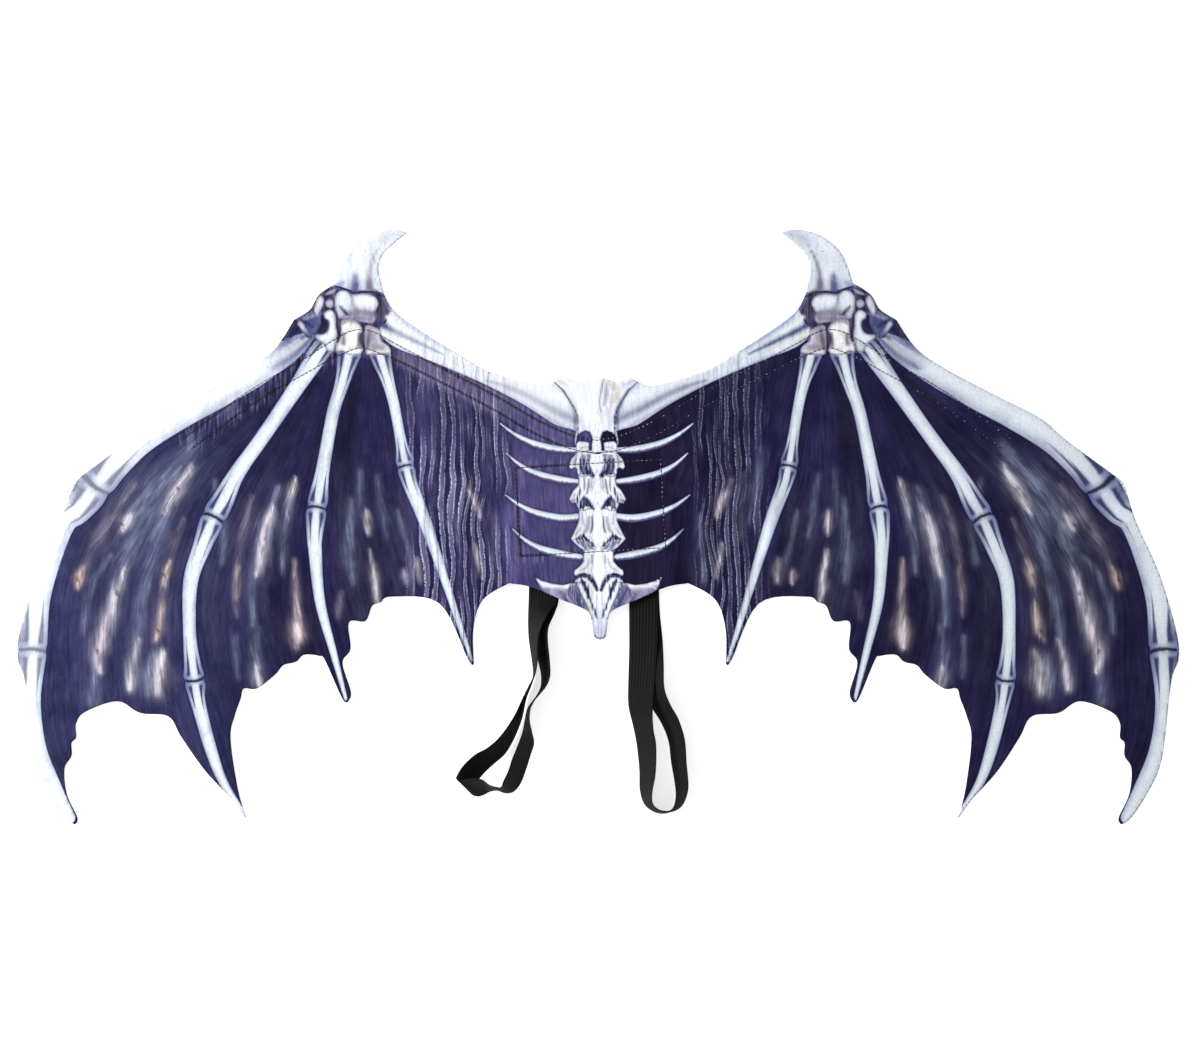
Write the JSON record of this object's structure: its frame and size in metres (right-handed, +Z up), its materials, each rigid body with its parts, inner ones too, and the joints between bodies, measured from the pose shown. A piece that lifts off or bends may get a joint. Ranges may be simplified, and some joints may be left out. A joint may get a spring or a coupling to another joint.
{
  "type": "skeleton wings",
  "caption": "Costume wings: a flat printed cloth cut as a pair of bat wings with claws, bone print and a ragged hem, worn by elastic shoulder loops.",
  "frame": {"origin": "middle of the span and of the height, on the floor plane under the lying cloth", "axes": "+X across the span toward the wing on the picture's right, +Y up the spine toward the claws, +Z up out of the printed face"},
  "size_m": [1, 0.512, 0.0258],
  "materials": {
    "printed_cloth": "thin printed polyester with a slight sheen, raw cut edge",
    "backing_cloth": "plain dark cloth",
    "elastic": "ribbed black woven elastic"
  },
  "bodies": {
    "root": {"wing_panel": "printed_cloth", "casing_tape": "backing_cloth", "strap_patch": "backing_cloth", "strap_left": "elastic", "strap_right": "elastic"}
  },
  "joints": []
}
